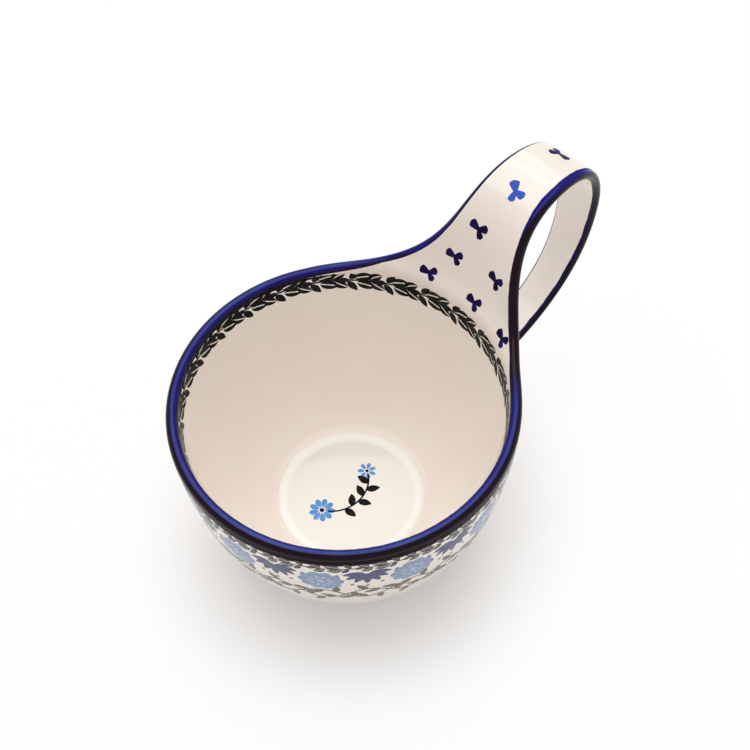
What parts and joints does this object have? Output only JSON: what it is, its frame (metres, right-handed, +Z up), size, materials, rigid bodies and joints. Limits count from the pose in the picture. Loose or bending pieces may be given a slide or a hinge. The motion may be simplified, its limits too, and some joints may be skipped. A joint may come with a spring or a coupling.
{
  "type": "ceramic scoop bowl",
  "caption": "Round stoneware scoop bowl on a foot ring, with a rim that sweeps up into a broad strap handle, loops over and returns to the wall, edged in cobalt glaze.",
  "frame": {"origin": "on the table, midway between the far side of the rim and the outside of the handle loop, in the plane of symmetry", "axes": "+X from the bowl towards the handle, +Z up, the XZ plane is the plane of symmetry"},
  "size_m": [0.1974, 0.13, 0.1179],
  "materials": {
    "cream_glaze": "glossy cream glaze with fine dark specks",
    "cobalt_glaze": "glossy cobalt blue glaze",
    "bare_clay": "unglazed stoneware, fine and matt",
    "joint_slip": "fired slip in the handle joints"
  },
  "bodies": {
    "root": {"bowl_body": "cream_glaze", "foot_ring": "bare_clay", "handle_strap": "cream_glaze", "handle_root_slip": "joint_slip", "handle_tail_slip": "joint_slip", "cobalt_edge_glaze": "cobalt_glaze"}
  },
  "joints": []
}
